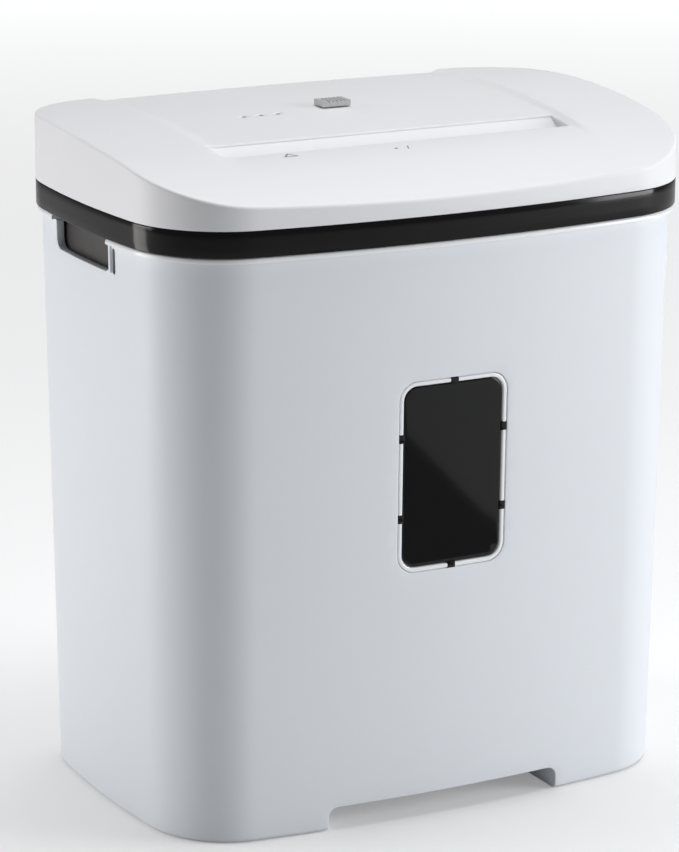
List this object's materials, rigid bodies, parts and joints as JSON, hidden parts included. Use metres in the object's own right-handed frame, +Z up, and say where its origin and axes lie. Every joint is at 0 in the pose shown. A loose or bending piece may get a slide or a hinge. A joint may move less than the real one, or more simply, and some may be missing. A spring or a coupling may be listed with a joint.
{
  "type": "paper shredder",
  "caption": "Paper shredder: tapered bin with a smoked window and side finger cut-outs, and a lift-off cutter head with a paper slot and a glossy band.",
  "frame": {"origin": "centre of the base, on the floor", "axes": "+Z up, +X across the width to the right seen from the front, front face toward -Y"},
  "size_m": [0.352, 0.246, 0.396],
  "materials": {
    "white_bin": "satin moulded",
    "white_head": "satin moulded",
    "smoked_pane": "polished smoked",
    "black_band": "polished",
    "black_casing": "fine texture",
    "black_rubber": "matt",
    "steel_plate": "zinc plated sheet",
    "cutter_steel": "hardened, oiled",
    "shaft_steel": "turned",
    "bronze": "sintered, oiled",
    "gear_steel": "sintered",
    "gear_nylon": "nylon",
    "screw_steel": "zinc plated",
    "motor_steel": "plated can",
    "copper_winding": "lacquered copper",
    "copper_bar": "bare copper",
    "carbon": "carbon",
    "board_green": "solder mask",
    "relay_blue": "moulded",
    "film_yellow": "moulded",
    "terminal_white": "moulded",
    "lead_brown": "PVC",
    "lead_red": "PVC",
    "clear_plastic": "clear moulded",
    "plunger_red": "acetal"
  },
  "bodies": {
    "base": {"bin": "white_bin", "window_pane": "smoked_pane"},
    "head": {"trim_band": "black_band", "head_cover": "white_head", "lower_casing": "black_casing", "cord_gland": "black_rubber", "throat_guide": "black_casing", "side_plate_left": "steel_plate", "side_plate_right": "steel_plate", "tie_rods": "shaft_steel", "tie_rod_nuts": "screw_steel", "shaft_bushes": "bronze", "comb_front": "black_casing", "comb_rear": "black_casing", "gear_pins": "shaft_steel", "gear_bridge": "steel_plate", "bridge_screws": "screw_steel", "motor_can": "motor_steel", "motor_end_bells": "motor_steel", "motor_stator": "copper_winding", "motor_brushes": "carbon", "motor_screws": "screw_steel", "thermal_cutout": "black_casing", "power_board": "board_green", "power_relays": "relay_blue", "power_capacitor": "film_yellow", "terminal_block": "terminal_white", "supply_leads": "lead_brown", "motor_leads": "lead_red", "control_board": "board_green", "indicator_lamps": "clear_plastic", "light_pipe": "clear_plastic", "mode_switch": "black_casing", "sensor_pin": "shaft_steel", "sensor_block": "black_casing", "interlock_spring": "shaft_steel", "interlock_switch": "black_casing", "casing_screws": "screw_steel", "small_screws": "screw_steel"},
    "cutter_front": {"cutter_shaft_front": "shaft_steel", "cutter_discs_front": "cutter_steel", "spacers_front": "shaft_steel", "sync_gear_front": "gear_steel", "shaft_clips_front": "cutter_steel"},
    "cutter_rear": {"cutter_shaft_rear": "shaft_steel", "cutter_discs_rear": "cutter_steel", "spacers_rear": "shaft_steel", "sync_gear_rear": "gear_steel", "drive_gear": "gear_steel", "shaft_clips_rear": "cutter_steel"},
    "first_gear": {"gear_first": "gear_nylon"},
    "second_gear": {"gear_second": "gear_steel"},
    "motor_rotor": {"motor_shaft": "shaft_steel", "motor_armature": "copper_winding", "motor_commutator": "copper_bar", "motor_fan": "black_casing", "motor_pinion": "gear_steel"},
    "knob": {"mode_knob": "black_casing"},
    "paper_flag": {"sensor_flag": "black_casing"},
    "plunger": {"interlock_plunger": "plunger_red"}
  },
  "joints": [
    {"name": "head_lift", "type": "slide", "parent": "base", "child": "head", "axis": [0, 0, 1], "range_m": [0, 0.13]},
    {"name": "rear_cutter_spin", "type": "hinge", "parent": "head", "child": "cutter_rear", "pos_m": [0, -0.031, 0.3178], "axis": [1, 0, 0], "continuous": true},
    {"name": "front_cutter_spin", "type": "hinge", "parent": "head", "child": "cutter_front", "pos_m": [0, -0.067, 0.3178], "axis": [1, 0, 0], "continuous": true},
    {"name": "second_gear_spin", "type": "hinge", "parent": "head", "child": "second_gear", "pos_m": [0, 0.006, 0.33127], "axis": [1, 0, 0], "continuous": true},
    {"name": "first_gear_spin", "type": "hinge", "parent": "head", "child": "first_gear", "pos_m": [0, 0.03083, 0.30417], "axis": [1, 0, 0], "continuous": true},
    {"name": "motor_spin", "type": "hinge", "parent": "head", "child": "motor_rotor", "pos_m": [0, 0.045, 0.3348], "axis": [1, 0, 0], "continuous": true},
    {"name": "mode_slide", "type": "slide", "parent": "head", "child": "knob", "axis": [1, 0, 0], "range_m": [-0.005, 0.005]},
    {"name": "paper_flag_swing", "type": "hinge", "parent": "head", "child": "paper_flag", "pos_m": [0, -0.0385, 0.3578], "axis": [1, 0, 0], "range_deg": [0, 30], "stiffness_Nm_per_rad": 0.0005, "springref_deg": -11.46},
    {"name": "interlock_travel", "type": "slide", "parent": "head", "child": "plunger", "axis": [0, 0, 1], "range_m": [-0.004, 0], "deforming": ["interlock_spring"]}
  ],
  "couplings": [
    {"joint": "front_cutter_spin", "follows": "rear_cutter_spin", "ratio": -1},
    {"joint": "second_gear_spin", "follows": "rear_cutter_spin", "ratio": -2.5},
    {"joint": "first_gear_spin", "follows": "rear_cutter_spin", "ratio": 8},
    {"joint": "motor_spin", "follows": "rear_cutter_spin", "ratio": -35.2},
    {"joint": "interlock_travel", "follows": "head_lift", "ratio": -0.030769}
  ]
}
